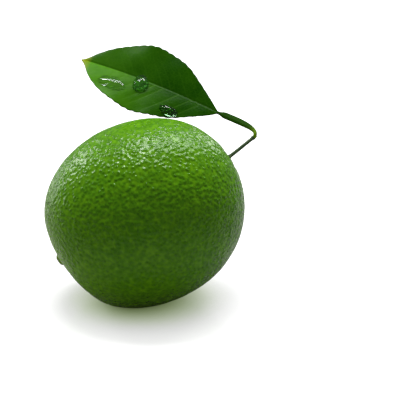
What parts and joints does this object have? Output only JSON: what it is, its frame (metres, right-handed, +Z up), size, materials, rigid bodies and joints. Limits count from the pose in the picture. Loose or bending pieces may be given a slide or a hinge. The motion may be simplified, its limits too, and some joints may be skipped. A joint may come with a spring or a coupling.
{
  "type": "lime with stalk and leaf",
  "caption": "Whole green lime lying on its side, a fresh citrus fruit with a small nipple, a lobed button, a short stalk, a glossy leaf on a winged leaf stalk, and water drops on the leaf.",
  "frame": {"origin": "middle of the small flat spot that the fruit rests on", "axes": "+Z up out of the ground, +X towards the raised stem end of the fruit, +Y towards the side that the leaf folds back over"},
  "size_m": [0.0674, 0.0623, 0.0712],
  "materials": {
    "rind": "waxy, semi-gloss green rind, pebbled all over by oil glands about 1 mm apart, darker pits and lighter net between them",
    "calyx": "dry, matt olive-brown button with paler lobe tips",
    "twig": "young green bark, satin, with fine lengthwise ridges and a pale cut end",
    "petiole": "smooth satin green leaf stalk, yellower where it leaves the twig",
    "leaf": "glossy deep green upper side with a paler midrib and fine side veins, matt and paler underneath",
    "water": "clear water, smooth and wet"
  },
  "bodies": {
    "root": {"fruit": "rind", "calyx": "calyx", "twig": "twig", "petiole": "petiole", "leaf_blade": "leaf", "drop_near_tip": "water", "drop_on_midrib": "water", "drop_at_margin": "water"}
  },
  "joints": []
}
